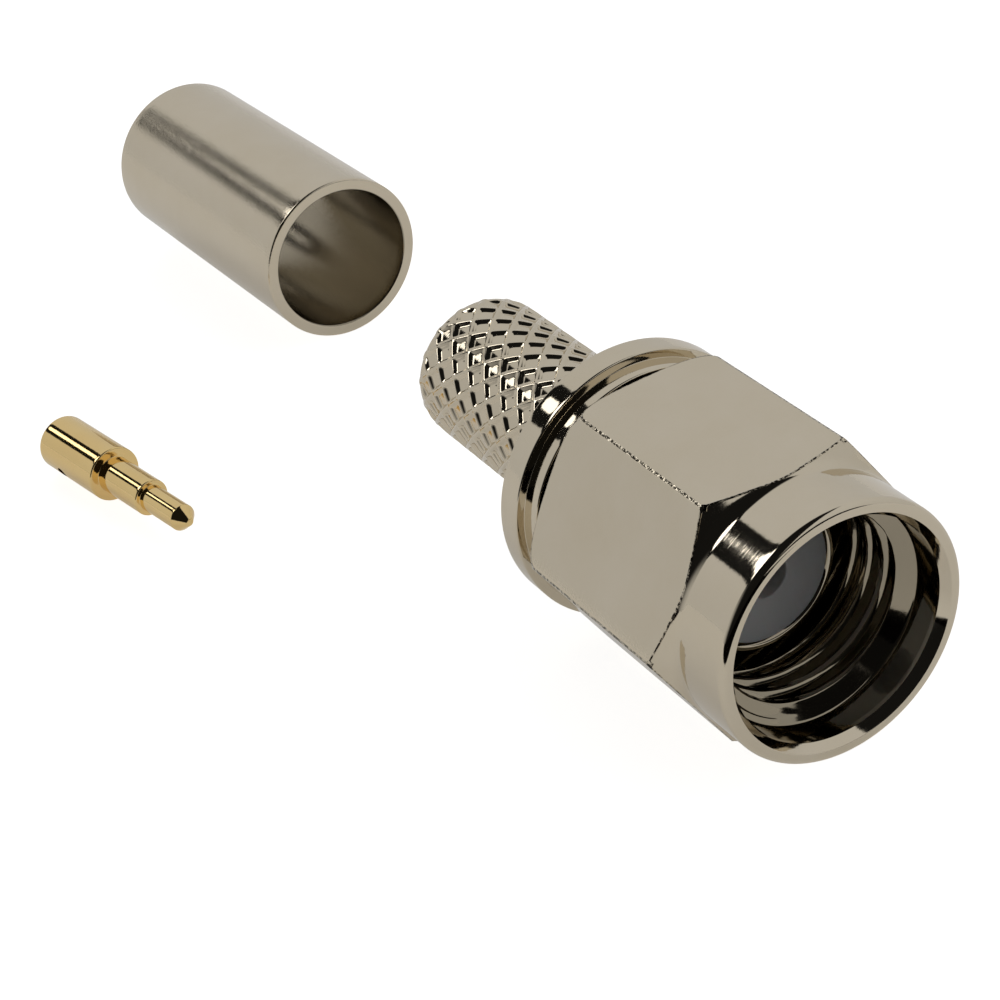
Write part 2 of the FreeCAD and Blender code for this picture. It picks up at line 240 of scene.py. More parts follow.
def mesh_of_revolution(name, x, radius, turn, closed=True, other_diagonal=None):
    """Mesh whose point (i, j) is (x, radius * cos(turn j), radius * sin(turn j)).

    x and radius are grids of profile step by turn. The grid closes round the axis, and along
    the profile if closed is set. The sign of the profile's area says which way is outwards.
    A face splits along its other diagonal where other_diagonal says so.
    """
    rows, columns = radius.shape
    points = np.stack([
        np.broadcast_to(x, radius.shape),
        radius * np.cos(turn),
        radius * np.sin(turn),
    ], axis=-1)
    i = np.arange(rows if closed else rows - 1)[:, None]
    j = np.arange(columns)[None, :]
    next_i = (i + 1) % rows
    next_j = (j + 1) % columns
    row, next_row = i * columns, next_i * columns
    corners = [row + j, next_row + j, next_row + next_j, row + next_j]
    mean_x = np.broadcast_to(x, radius.shape).mean(axis=1)
    mean_r = radius.mean(axis=1)
    area = np.sum(mean_x * np.roll(mean_r, -1) - np.roll(mean_x, -1) * mean_r)
    if area < 0:
        corners.reverse()
    quads = np.stack([np.broadcast_to(c, (len(i), columns)) for c in corners], axis=-1)
    if other_diagonal is not None:
        swapped = other_diagonal != (area < 0)
        quads = np.where(swapped[:, :, None], np.roll(quads, 1, axis=-1), quads)
    mesh = bpy.data.meshes.new(name)
    mesh.from_pydata(points.reshape(-1, 3), [], quads.reshape(-1, 4).tolist())
    mesh.shade_smooth()
    mesh.update()
    return mesh


def painted(mesh, name, values):
    """The mesh with one number stored at each point, for its material to read."""
    layer = mesh.attributes.new(name, "FLOAT", "POINT")
    layer.data.foreach_set("value", np.asarray(values, dtype=float).ravel())
    return mesh


def even_turns(count):
    """count angles evenly round the axis, as a row."""
    return np.arange(count)[None, :] * FULL_TURN / count


def laid_out(mesh, place, yaw):
    """The mesh turned by yaw about the vertical and moved to place, in its own vertices."""
    mesh.transform(Matrix.Translation(place) @ Matrix.Rotation(yaw, 4, "Z"))
    return mesh


def new_piece(name, mesh, material, body, node):
    """A finished piece: it has its material, rides on its body and replaces its CAD node."""
    mesh.materials.clear()
    mesh.materials.append(material)
    piece = bpy.data.objects.new(name, mesh)
    bpy.context.scene.collection.objects.link(piece)
    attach(piece, body)
    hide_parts(node)
    return piece


# Coupling nut

# Share of the way to a corner, along a flat, from which tumbling rolled the flat off
ROLL_OFF_START = 0.75
# Steps of the mesh round one half of a flat, in degrees from the corner
CORNER_STEPS = [0, 0.25, 0.5, 0.75, 1.1, 1.6, 2.4, 3.6, 5.2, 7.2]
FLAT_STEPS = np.arange(9.5, 30, 2.05)
# Shares of the thread's pitch that are flat crest and flat root
CREST_SHARE = 0.25
ROOT_SHARE = 0.125
STEPS_PER_THREAD = 24
# Away from the thread, only every so many of the fine steps are kept
COARSE_STEP = 5
# Rows of the mesh from the rear face to the ring's foot, and the flat's from its worn edge inwards
FACE_ROWS = 6
ARC_ROWS = 30
CONE_ROWS = 44
FLAT_PLACES = np.array([0, 0.02, 0.05, 0.12, 0.3, 0.8]) * MM
FLAT_ROWS = 2 * len(FLAT_PLACES) + 1
# Small roundings inside the mouth and the nut, and the fine steps' reach past the thread's ends
MOUTH_EDGE_ROUND = 0.025 * MM
CHAMFER_END_ROUND = 0.02 * MM
LEAD_IN_ROUND = 0.08 * MM
FLANGE_EDGE_ROUND = 0.05 * MM
THREAD_MARGIN = 0.1 * MM
# Where the front ring's outline starts after the hollow, and where it hands over to the inside's
RING_START = 0.03 * MM
RING_END = 0.1 * MM
INSIDE_START = 0.15 * MM
# The worn lines get this much wider at a corner, from this far round, and this much is nicked and
# painted with a dark reflection
CORNER_WEAR = 3.5
CORNER_WEAR_SPAN = math.radians(1.6)
NICKED_SPAN = math.radians(0.6)


def from_flat(turn):
    """Angle from the middle of the nearest flat of a hexagon that lies on a flat."""
    return (turn - FULL_TURN / 4 + SIXTH / 2) % SIXTH - SIXTH / 2


def from_corner(turn):
    """Angle from the hexagon's nearest corner."""
    return SIXTH / 2 - np.abs(from_flat(turn))


def hexagon_radius(turn, half_flats, sizes):
    """Radius of a hexagon with flats above and below, at each turn, with its corners cut off.

    A flat at distance h has the radius h / cos(angle from its normal). Its outer quarters roll
    off as the square of the way into them. A corner is cut by a plane across it, the edge break
    inside the corner.
    """
    aside = np.abs(np.tan(from_flat(turn))) / math.tan(SIXTH / 2)
    rolled = np.clip((aside - ROLL_OFF_START) / (1 - ROLL_OFF_START), 0, 1) ** 2
    flats = (half_flats - sizes.flat_roll_off * rolled) / np.cos(from_flat(turn))
    corner = half_flats / math.cos(SIXTH / 2) - sizes.hex_edge_break
    return np.minimum(flats, corner / np.cos(from_corner(turn)))


def hexagon_turns():
    """Angles round the nut: close together at the six corners and wide apart on the flats."""
    half = np.concatenate([CORNER_STEPS, FLAT_STEPS])
    sector = np.concatenate([half, 60 - half[:0:-1]])
    return np.radians(np.concatenate([sector + 60 * k for k in range(6)]))[None, :]


def thread_radius(x, turn, sizes):
    """Radius of a right-hand internal 60 degree thread.

    The phase is x / pitch - turn / full turn. It is flat at the minor radius over the crest's
    share and at the major radius over the root's, and half straight, half eased flanks join them.
    """
    phase = (x / sizes.thread_pitch - turn / FULL_TURN) % 1.0
    from_root = np.abs(2 * phase - 1)
    depth = np.clip((1 - CREST_SHARE - from_root) / (1 - CREST_SHARE - ROOT_SHARE), 0, 1)
    eased = depth * depth * (3 - 2 * depth)
    return sizes.thread_minor + (sizes.thread_major - sizes.thread_minor) * (depth + eased) / 2


def distances(line):
    """Distance along a profile to each of its points."""
    return np.concatenate([[0], np.cumsum(np.linalg.norm(np.diff(line, axis=0), axis=1))])


def walked(line, start, end, shares):
    """Grids of x and radius on a profile, at shares of the way from start to end along it.

    start and end are distances along the profile, and may differ from turn to turn.
    """
    place = start + (end - start) * shares[:, None]
    far = distances(line)
    return np.interp(place, far, line[:, 0]), np.interp(place, far, line[:, 1])


def distance_at(line, values, wanted):
    """Distance along a profile to where values, which only grow along it, reach wanted."""
    return np.interp(wanted, values, distances(line))


def hollow_reach(sizes):
    """How far the hollow rounding at the ring's foot reaches along the ring."""
    return sizes.ring_foot_round * math.tan((math.pi / 2 - sizes.front_chamfer) / 2)


def nut_outside(sizes, turn):
    """Grids of x and radius over the nut's outside, from its rear face to the ring's foot.

    At each turn the turned rear end is walked up to where it meets the hexagon, the flat is
    walked along the axis, and the front cone and hollow are walked down to the ring. A strip as
    wide as the edge wear joins them, so that each edge is a thin worn line.
    """
    rear, front = NUT_LOW.x, NUT_HIGH.x
    half_flats = NUT_HIGH.z
    blank = half_flats / math.cos(SIXTH / 2)
    foot = front - sizes.ring_length
    cone_start = foot - (blank - sizes.ring_radius) * math.tan(sizes.front_chamfer)
    rear_line = rounded_line([
        (rear, sizes.hole_radius + sizes.hole_chamfer, 0),
        (rear, blank, sizes.rear_round),
        (rear + 2 * sizes.rear_round, blank, 0),
    ], closed=False)
    front_line = rounded_line([
        (cone_start, blank, 0),
        (foot, sizes.ring_radius, sizes.ring_foot_round),
        (foot + 1.001 * hollow_reach(sizes), sizes.ring_radius, 0),
    ], closed=False)
    hexagon = hexagon_radius(turn, half_flats, sizes)
    at_corner = np.clip(1 - from_corner(turn) / CORNER_WEAR_SPAN, 0, 1)
    wear = sizes.edge_wear * (1 + CORNER_WEAR * at_corner)
    columns = np.ones_like(turn)
    arc_start = (blank - sizes.rear_round - rear_line[0, 1]) * columns
    rear_end = distance_at(rear_line, rear_line[:, 1], hexagon)
    front_begin = distance_at(front_line, -front_line[:, 1], -hexagon)
    ring_begin = distance_at(front_line, -front_line[:, 1], -sizes.ring_radius) * columns
    face_x, face_radius = walked(rear_line, 0 * turn, arc_start, np.linspace(0, 0.98, FACE_ROWS))
    arc_x, arc_radius = walked(rear_line, arc_start, rear_end - wear, np.linspace(0, 1, ARC_ROWS))
    cone_x, cone_radius = walked(
        front_line, front_begin + wear, ring_begin, np.linspace(0, 1, CONE_ROWS))
    rear_x = walked(rear_line, rear_end, rear_end, np.zeros(1))[0]
    front_x = walked(front_line, front_begin, front_begin, np.zeros(1))[0]
    flat_x = np.vstack([
        rear_x + wear + FLAT_PLACES[:, None],
        (rear_x + front_x) / 2,
        front_x - wear - FLAT_PLACES[::-1, None],
    ])
    return (np.vstack([face_x, arc_x, flat_x, cone_x]),
            np.vstack([face_radius, arc_radius, hexagon * np.ones((FLAT_ROWS, 1)), cone_radius]))


def nicked_edges_with_painted_reflection(turn, rows):
    """1 on the hexagon's nicked edges and 0 elsewhere, for each point of the nut. The material bumps
    nicks there and paints a dark reflection in dashes along them.
    """
    flat_start = FACE_ROWS + ARC_ROWS
    flat_end = flat_start + FLAT_ROWS
    # This mask places both the nicks' bumps and their painted dark reflection
    worn = np.zeros((rows, turn.shape[1]))
    worn[flat_start - 1:flat_end + 1] = from_corner(turn) < NICKED_SPAN
    for edge in (flat_start, flat_end):
        worn[edge - 1:edge + 1] = 1
    return worn


def nut_mesh(sizes):
    """The nut as one closed surface: its outline carried round the axis.

    Outside it is the turned blank cut by the hexagon. Inside, the radius is the larger of the
    bored profile's and the thread's.
    """
    rear, front = NUT_LOW.x, NUT_HIGH.x
    chamfer_end = front - sizes.mouth_chamfer
    ring = rounded_line([
        (front - sizes.ring_length + hollow_reach(sizes) + RING_START, sizes.ring_radius, 0),
        (front, sizes.ring_radius, sizes.front_round),
        (front, sizes.mouth_radius, MOUTH_EDGE_ROUND),
        (chamfer_end, sizes.counterbore_radius, CHAMFER_END_ROUND),
        (chamfer_end - RING_END, sizes.counterbore_radius, 0),
    ], arc_step=0.02 * MM, closed=False)
    ring = divided(ring, longest=0.3 * MM, closed=False)
    relief_cone = sizes.relief_radius - sizes.thread_minor
    inside = rounded_line([
        (chamfer_end - INSIDE_START, sizes.counterbore_radius, 0),
        (sizes.thread_front + sizes.lead_in, sizes.counterbore_radius, LEAD_IN_ROUND),
        (sizes.thread_front, sizes.thread_minor, 0),
        (0, sizes.thread_minor, 0),
        (-relief_cone, sizes.relief_radius, 0),
        (-sizes.relief_depth, sizes.relief_radius, sizes.relief_round),
        (-sizes.relief_depth, sizes.hole_radius, FLANGE_EDGE_ROUND),
        (rear + sizes.hole_chamfer, sizes.hole_radius, 0),
    ], closed=False)
    inside = inner_steps(inside, sizes)
    turn = hexagon_turns()
    columns = np.ones_like(turn)
    x = inside[:, :1]
    bored = inside[:, 1:] * columns
    in_thread = (x < sizes.thread_front + sizes.lead_in) & (x > -relief_cone)
    inner_radius = np.where(in_thread, np.maximum(bored, thread_radius(x, turn, sizes)), bored)
    outside_x, outside_radius = nut_outside(sizes, turn)
    all_x = np.vstack([outside_x, ring[:, :1] * columns, x * columns])
    radius = np.vstack([outside_radius, ring[:, 1:] * columns, inner_radius])
    mesh = mesh_of_revolution("coupling_nut_plated", all_x, radius, turn)
    # Rows inside the bore are marked for a painted shade
    bore_painted_shade = np.arange(len(radius))[:, None] >= len(outside_x) + len(ring)
    painted(mesh, "bore", bore_painted_shade * columns)
    # The hexagon's edges are marked for nicks with a painted dark reflection
    return painted(mesh, "burr_and_painted_reflection", nicked_edges_with_painted_reflection(turn, len(radius)))


def inner_steps(line, sizes):
    """The inside profile, with fine steps along the thread and wide ones elsewhere."""
    fine = divided(line, sizes.thread_pitch / STEPS_PER_THREAD, closed=False)
    front = sizes.thread_front + sizes.lead_in + THREAD_MARGIN
    rear = sizes.thread_minor - sizes.relief_radius - THREAD_MARGIN
    threaded = (fine[:, 0] < front) & (fine[:, 0] > rear)
    keep = threaded | (np.arange(len(fine)) % COARSE_STEP == 0)
    keep[[0, -1]] = True
    return fine[keep]


# Connector body

ROWS_PER_HALF_PIT = 8
COLUMNS_PER_PIT = 16
# The knurl runs out over this length at the stem's rear end, down to this share of its height
KNURL_RUN_OUT = 0.3 * MM
KNURL_END_SHARE = 0.35
RIM_FOOT_ROUND = 0.02 * MM


def knurl_distances(x, turn, sizes, stem_rear, stem_front):
    """Distances from the two families of knurl ridges, from 0 on a ridge to 1 mid-pit.

    u counts half pitches round and v half pitches along. The ridges are the lines where u + v
    or u - v is odd.
    """
    u = turn * sizes.knurl_count / math.pi
    v = (x - stem_rear) / (stem_front - stem_rear) * sizes.knurl_rows
    return np.abs((u + v) % 2 - 1), np.abs((u - v) % 2 - 1)


def knurl_height(first, second, sizes):
    """Height of the knurl: 1 on the flat ridges, steep walls, and 0 on the pits' flat floors."""
    down = (np.minimum(first, second) - sizes.ridge_share) / (sizes.floor_start - sizes.ridge_share)
    down = np.clip(down, 0, 1)
    return 1 - down * down * (3 - 2 * down)


def body_mesh(sizes):
    """The body as one closed surface: its outline carried round the axis.

    On the stem the radius drops from the ridges by the pit depth times (1 - knurl height). Faces
    split along the nearer ridge, so that ridges stay straight.
    """
    rear = BODY_LOW.x
    collar = BODY_HIGH.z
    collar_rear = -sizes.rim_rear
    front_part = rounded_line([
        (0, sizes.bore_radius, 0),
        (0, sizes.sleeve_radius, sizes.sleeve_round),
        (-sizes.sleeve_length, sizes.sleeve_radius, 0),
        (-sizes.sleeve_length, sizes.neck_radius, sizes.sleeve_round),
        (-sizes.hub_front, sizes.neck_radius, 0),
        (-sizes.hub_front, sizes.hub_radius, sizes.collar_round),
        (-sizes.rim_front, sizes.hub_radius, RIM_FOOT_ROUND),
        (-sizes.rim_front, collar, sizes.collar_round),
        (collar_rear, collar, sizes.collar_round),
        (collar_rear, sizes.stem_radius, 0),
    ], arc_step=0.016 * MM, closed=False)
    front_part = divided(front_part, longest=0.25 * MM, closed=False)
    rear_part = rounded_line([
        (rear, sizes.cable_radius + sizes.cable_chamfer, 0),
        (rear + sizes.cable_chamfer, sizes.cable_radius, 0),
        (-sizes.bore_depth, sizes.cable_radius, 0),
        (-sizes.bore_depth, sizes.bore_radius, 0),
        (0, sizes.bore_radius, 0),
    ], closed=False)
    rear_part = divided(rear_part, longest=0.8 * MM, closed=False)[:-1]
    steps = ROWS_PER_HALF_PIT * sizes.knurl_rows
    stem_x = np.linspace(collar_rear, rear, steps + 1)[1:, None]
    turn = even_turns(COLUMNS_PER_PIT * sizes.knurl_count)
    columns = np.ones_like(turn)
    height = knurl_height(*knurl_distances(stem_x, turn, sizes, rear, collar_rear), sizes)
    run_out = np.clip((stem_x - rear) / KNURL_RUN_OUT, KNURL_END_SHARE, 1)
    stem_radius = sizes.stem_radius - sizes.pit_depth * (1 - height * run_out)
    x = np.vstack([front_part[:, :1], stem_x, rear_part[:, :1]])
    radius = np.vstack([front_part[:, 1:] * columns, stem_radius, rear_part[:, 1:] * columns])
    stem_end = len(front_part) + steps
    mid_x = stem_x - 0.5 * (stem_x[0] - stem_x[1])
    mid_turn = turn + 0.5 * (turn[0, 1] - turn[0, 0])
    first, second = knurl_distances(mid_x, mid_turn, sizes, rear, collar_rear)
    other = np.zeros(radius.shape, bool)
    other[len(front_part):stem_end] = second < first
    mesh = mesh_of_revolution("connector_body_plated", x, radius, turn, other_diagonal=other)
    row = np.arange(len(x))[:, None]
    # Rows inside the bores are marked for a painted shade
    bore_painted_shade = (row >= stem_end) | (row == 0)
    return painted(mesh, "bore", bore_painted_shade * columns)


# Insulator, ferrule and contact

DRILL_HALF_ANGLE = math.radians(59)
SHARP_FROM = math.radians(50)
MERGE_DISTANCE = 0.001 * MM
# Columns of the mesh round the bead and the contact, the ferrule and the drill
COLUMNS = 128
FERRULE_COLUMNS = 256
DRILL_COLUMNS = 32
# Points less than this outside the ferrule's bore count as bore, and get its painted shade
BORE_SKIN = 0.05 * MM


def insulator_mesh(sizes, contact):
    """White bead with a narrow front bore and a wide rear bore, its outline carried round."""
    front, rear = INSULATOR_HIGH.x, INSULATOR_LOW.x
    outer = INSULATOR_HIGH.z
    step = -contact.waist_length
    narrow = contact.waist_radius + sizes.play
    wide = contact.barrel_radius + sizes.play
    line = rounded_line([
        (front, narrow, sizes.edge_round),
        (front, outer, sizes.edge_round),
        (rear, outer, sizes.edge_round),
        (rear, wide, sizes.edge_round),
        (step, wide, 0),
        (step, narrow, 0),
    ])
    line = divided(line, longest=0.5 * MM)
    turn = even_turns(COLUMNS)
    return mesh_of_revolution("insulator_bead", line[:, :1], line[:, 1:] * np.ones_like(turn), turn)


def ferrule_mesh(sizes):
    """Plain tube with rounded edges, its outline carried round its axis."""
    half = sizes.tube_length / 2
    line = rounded_line([
        (-half, sizes.inner_radius, sizes.edge_round),
        (-half, sizes.outer_radius, sizes.edge_round),
        (half, sizes.outer_radius, sizes.edge_round),
        (half, sizes.inner_radius, sizes.edge_round),
    ], arc_step=0.02 * MM)
    line = divided(line, longest=0.4 * MM)
    turn = even_turns(FERRULE_COLUMNS)
    radius = line[:, 1:] * np.ones_like(turn)
    mesh = mesh_of_revolution("crimp_ferrule_plated", line[:, :1], radius, turn)
    # The bore is marked for a painted shade
    painted(mesh, "bore", radius < sizes.inner_radius + BORE_SKIN)
    return laid_out(mesh, (FERRULE_LOW + FERRULE_HIGH) / 2, sizes.yaw)


def contact_length(sizes):
    """The contact from its rear face to its point."""
    return sizes.barrel_length + sizes.waist_length + sizes.tip_length + sizes.cone_length


def contact_place(sizes):
    """The contact's middle: its barrel's rear end, turned by the yaw, fills the box's low corner."""
    half = contact_length(sizes) / 2
    along, aside = math.cos(sizes.yaw), math.sin(sizes.yaw)
    radius = sizes.barrel_radius
    from_corner_x = half * along + radius * aside
    from_corner_y = half * aside + radius * along
    return CONTACT_LOW + Vector((from_corner_x, from_corner_y, radius))


def contact_mesh(sizes):
    """Stepped contact, its outline carried round its axis from the bore's end to the point."""
    waist = sizes.barrel_length
    tip = waist + sizes.waist_length
    cone = tip + sizes.tip_length
    end = cone + sizes.cone_length
    drill_point = sizes.bore_depth + sizes.bore_radius / math.tan(DRILL_HALF_ANGLE)
    edge = sizes.edge_round
    line = rounded_line([
        (drill_point, 0, 0),
        (sizes.bore_depth, sizes.bore_radius, 0),
        (0, sizes.bore_radius, edge),
        (0, sizes.barrel_radius, edge),
        (waist, sizes.barrel_radius, edge),
        (waist, sizes.waist_radius, edge / 2),
        (tip, sizes.waist_radius, edge),
        (tip, sizes.tip_radius, edge / 2),
        (cone, sizes.tip_radius, edge),
        (end, sizes.end_radius, edge),
        (end, 0, 0),
    ], closed=False)
    line = divided(line, longest=0.12 * MM, closed=False)
    line = line - np.array([[end / 2, 0]])
    turn = even_turns(COLUMNS)
    radius = line[:, 1:] * np.ones_like(turn)
    mesh = mesh_of_revolution("centre_contact_plated", line[:, :1], radius, turn, closed=False)
    close_poles(mesh)
    return mesh


def close_poles(mesh):
    """Merges the points that lie together on the axis, so that both ends are closed."""
    work = bmesh.new()
    work.from_mesh(mesh)
    bmesh.ops.remove_doubles(work, verts=work.verts, dist=MERGE_DISTANCE)
    work.to_mesh(mesh)
    work.free()


def drilled(mesh, sizes):
    """The contact with its inspection hole drilled through one wall of the barrel."""
    drill_x = sizes.hole_from_rear - contact_length(sizes) / 2
    line = np.array([(0, 0), (0, 1), (1, 1), (1, 0)]) * [2 * sizes.barrel_radius, sizes.hole_radius]
    line = divided(line, longest=0.2 * MM, closed=False)
    turn = even_turns(DRILL_COLUMNS)
    radius = line[:, 1:] * np.ones_like(turn)
    cutter_mesh = mesh_of_revolution("drill", line[:, :1], radius, turn, closed=False)
    close_poles(cutter_mesh)
    way = Vector((0, math.cos(sizes.hole_turn), math.sin(sizes.hole_turn)))
    aimed = Vector((1, 0, 0)).rotation_difference(way).to_matrix().to_4x4()
    cutter_mesh.transform(Matrix.Translation((drill_x, 0, 0)) @ aimed)
    cutter = bpy.data.objects.new("drill", cutter_mesh)
    blank = bpy.data.objects.new("contact_blank", mesh)
    for made in (cutter, blank):
        bpy.context.scene.collection.objects.link(made)
    boolean = blank.modifiers.new("inspection_hole", "BOOLEAN")
    boolean.operation = "DIFFERENCE"
    boolean.solver = "EXACT"
    boolean.object = cutter
    graph = bpy.context.evaluated_depsgraph_get()
    result = bpy.data.meshes.new_from_object(blank.evaluated_get(graph))
    for made in (cutter, blank):
        bpy.data.objects.remove(made)
    result.name = "centre_contact_plated"
    result.shade_smooth()
    result.set_sharp_from_angle(angle=SHARP_FROM)
    return result


# Materials

def add_node(tree, kind, inputs=None, **settings):
    """One node with its settings, and its inputs by name or number: values or other sockets."""
    node = tree.nodes.new(kind)
    for name, value in settings.items():
        setattr(node, name, value)
    for key, value in (inputs or {}).items():
        if isinstance(value, bpy.types.NodeSocket):
            tree.links.new(value, node.inputs[key])
        else:
            node.inputs[key].default_value = value
    return node


def empty_material(name):
    """A material with an empty node tree, its output and its Object coordinates."""
    material = bpy.data.materials.new(name)
    material.use_nodes = True
    tree = material.node_tree
    tree.nodes.clear()
    output = add_node(tree, "ShaderNodeOutputMaterial")
    return material, tree, output, add_node(tree, "ShaderNodeTexCoord").outputs["Object"]


def rgba(colour_value, share=1.0):
    """A colour times share, with its alpha, as a socket takes it."""
    return (*(c * share for c in colour_value), 1.0)


# How plating varies, the same on every metal piece
PATCH_SPACING = 2.2 * MM
TURNING_SPACING = 0.10 * MM
TURNING_LENGTH = 3 * MM
NICK_SPACING = 0.12 * MM
NICK_HEIGHT = 0.02 * MM
# Painted shade in the bores and painted dark reflection along nicked edges, as shares of the shade
# colour
BORE_PAINTED_SHADE = 0.55
PAINTED_DARK_REFLECTION_SHARE = 0.06
# Depths of the nicks' noise between which the painted dark reflection sets in
PAINTED_DARK_REFLECTION_FROM = 0.46
PAINTED_DARK_REFLECTION_FULL = 0.52


def plated_metal(name, bright, shade, roughness, grain, grain_height, lines_height):
    """Bright plating over turned or drawn brass.

    The plating is a clean mirror that follows what lies under it: grain is the spacing of the
    tumbled surface's small dents, and the turning lines run round the X axis 0.1 mm apart.
    Patches some millimetres wide are a little more yellow. The bores' colour is darkened as a
    painted shade, and burred edges are nicked, with a painted dark reflection in dashes along the
    nicks.
    """
    material, tree, output, place = empty_material(name)
    patches, dents, nicks = (
        add_node(tree, "ShaderNodeTexNoise", {
            "Vector": place, "Scale": 1 / spacing, "Detail": detail, "Roughness": finer,
        }).outputs["Fac"]
        for spacing, detail, finer in (
            (PATCH_SPACING, 4.0, 0.6), (grain, 4.0, 0.65), (NICK_SPACING, 3.0, 0.7)))
    stretched = add_node(tree, "ShaderNodeVectorMath", {
        0: place, 1: (1 / TURNING_SPACING, 1 / TURNING_LENGTH, 1 / TURNING_LENGTH),
    }, operation="MULTIPLY").outputs[0]
    lines = add_node(tree, "ShaderNodeTexNoise", {
        "Vector": stretched, "Scale": 1.0, "Detail": 2.0,
    }).outputs["Fac"]
    # The painted 'bore' mark asks for painted shade; the other mark is for nicked edges, which get
    # bumps and a painted dark reflection
    bore, burr_and_painted_reflection = (
        add_node(tree, "ShaderNodeAttribute", attribute_name=painted_name).outputs["Fac"]
        for painted_name in ("bore", "burr_and_painted_reflection"))
    on_edge = add_node(tree, "ShaderNodeMath", {0: burr_and_painted_reflection, 1: nicks}, operation="MULTIPLY").outputs[0]
    # Painted dark reflection in dashes where the nicks' noise runs high on a nicked edge
    painted_dark_reflection = add_node(
        tree, "ShaderNodeMapRange",
        {"Value": on_edge, "From Min": PAINTED_DARK_REFLECTION_FROM, "From Max": PAINTED_DARK_REFLECTION_FULL},
        interpolation_type="SMOOTHSTEP").outputs[0]
    tone = rgba(bright)
    # Yellow patches, then painted shade in the bores, then a painted dark reflection in the edges'
    # nicks
    for share, darkness in ((patches, 1.0), (bore, BORE_PAINTED_SHADE), (painted_dark_reflection, PAINTED_DARK_REFLECTION_SHARE)):
        tone = add_node(tree, "ShaderNodeMix", {
            "Factor": share, 6: tone, 7: rgba(shade, darkness),
        }, data_type="RGBA").outputs[2]
    gloss = add_node(tree, "ShaderNodeMapRange", {
        "Value": dents, "From Min": 0.3, "From Max": 0.7,
        "To Min": roughness * 0.75, "To Max": roughness * 1.3,
    }).outputs[0]
    under = {}
    for height, distance in ((dents, grain_height), (lines, lines_height), (on_edge, NICK_HEIGHT)):
        bump = add_node(tree, "ShaderNodeBump", {
            "Height": height, "Strength": 1.0, "Distance": distance, **under,
        })
        under = {"Normal": bump.outputs["Normal"]}
    shader = add_node(
        tree, "ShaderNodeBsdfPrincipled",
        {"Metallic": 1.0, "Base Color": tone, "Roughness": gloss, **under})
    tree.links.new(shader.outputs[0], output.inputs["Surface"])
    return material


def turned_ptfe(finishes):
    """PTFE, turned: waxy white and slightly translucent, with a fine dull grain."""
    material, tree, output, place = empty_material("turned_ptfe")
    cloud, fine = (
        add_node(tree, "ShaderNodeTexNoise", {
            "Vector": place, "Scale": 1 / spacing, "Detail": 3.0, "Roughness": 0.6,
        }).outputs["Fac"]
        for spacing in (1.2 * MM, 0.08 * MM))
    tone = add_node(tree, "ShaderNodeMix", {
        "Factor": cloud, 6: rgba(finishes.ptfe), 7: rgba(finishes.ptfe, 0.9),
    }, data_type="RGBA").outputs[2]
    bump = add_node(tree, "ShaderNodeBump", {
        "Height": fine, "Strength": 0.5, "Distance": 0.003 * MM,
    })
    shader = add_node(tree, "ShaderNodeBsdfPrincipled", {
        "Base Color": tone, "Roughness": 0.45, "IOR": 1.35, "Subsurface Weight": 0.15,
        "Subsurface Scale": 0.5 * MM, "Normal": bump.outputs["Normal"],
    })
    tree.links.new(shader.outputs[0], output.inputs["Surface"])
    return material


def moulded_rubber(finishes):
    """Silicone rubber, moulded: black and matt, with a fine bloom on its skin."""
    material, tree, output, place = empty_material("moulded_rubber")
    bloom = add_node(tree, "ShaderNodeTexNoise", {
        "Vector": place, "Scale": 1 / (0.15 * MM), "Detail": 3.0, "Roughness": 0.6,
    }).outputs["Fac"]
    gloss = add_node(
        tree, "ShaderNodeMapRange", {"Value": bloom, "To Min": 0.6, "To Max": 0.9}).outputs[0]
    tone = add_node(tree, "ShaderNodeMix", {
        "Factor": bloom, 6: rgba(finishes.rubber), 7: rgba(finishes.rubber, 1.8),
    }, data_type="RGBA").outputs[2]
    shader = add_node(tree, "ShaderNodeBsdfPrincipled", {"Base Color": tone, "Roughness": gloss})
    tree.links.new(shader.outputs[0], output.inputs["Surface"])
    return material


def nickel_on_machined_brass(finishes):
    """Nickel-plated brass, machined: a warm grey mirror with faint turning lines and pits."""
    return plated_metal(
        "nickel_on_machined_brass", finishes.nickel, finishes.nickel_shade,
        roughness=0.055, grain=0.12 * MM, grain_height=0.0007 * MM, lines_height=0.0011 * MM)


def nickel_on_drawn_tube(finishes):
    """Nickel-plated brass tube, tumbled: satin, with small dents that break up reflections."""
    return plated_metal(
        "nickel_on_drawn_tube", finishes.nickel, finishes.nickel_shade,
        roughness=0.08, grain=0.09 * MM, grain_height=0.006 * MM, lines_height=0.0004 * MM)


def gold_on_machined_brass(finishes):
    """Gold-plated brass, machined: a yellow mirror, a little uneven where the gold is thin."""
    return plated_metal(
        "gold_on_machined_brass", finishes.gold, finishes.gold_shade,
        roughness=0.07, grain=0.2 * MM, grain_height=0.0015 * MM, lines_height=0.0008 * MM)


def sprung_bronze(finishes):
    """Spring bronze, rolled and split: dull brown gold."""
    return plated_metal(
        "sprung_bronze", finishes.bronze, [c * 0.8 for c in finishes.bronze],
        roughness=0.35, grain=0.1 * MM, grain_height=0.004 * MM, lines_height=0.0)


# Stage

CAMERA_PLACE = Vector((47.284, -29.158, 40.587)) * MM
CAMERA_AIM = Vector((-0.75803, 0.34830, -0.55143))
CAMERA_ROLL_DEG = -10.93
CAMERA_FOCAL_SHARE = 2.5
SENSOR_WIDTH = 36.0
TOWARDS_CAMERA = -CAMERA_AIM.normalized()
CAMERA_RIGHT = Vector((0, 0, 1)).cross(TOWARDS_CAMERA).normalized()

CARD_COLOUR = "#E3E1DE"
# Colour of the painted dark patch, a painted dark reflection that the camera never sees
PAINTED_DARK_FLOOR_COLOUR = "#0C0A0A"
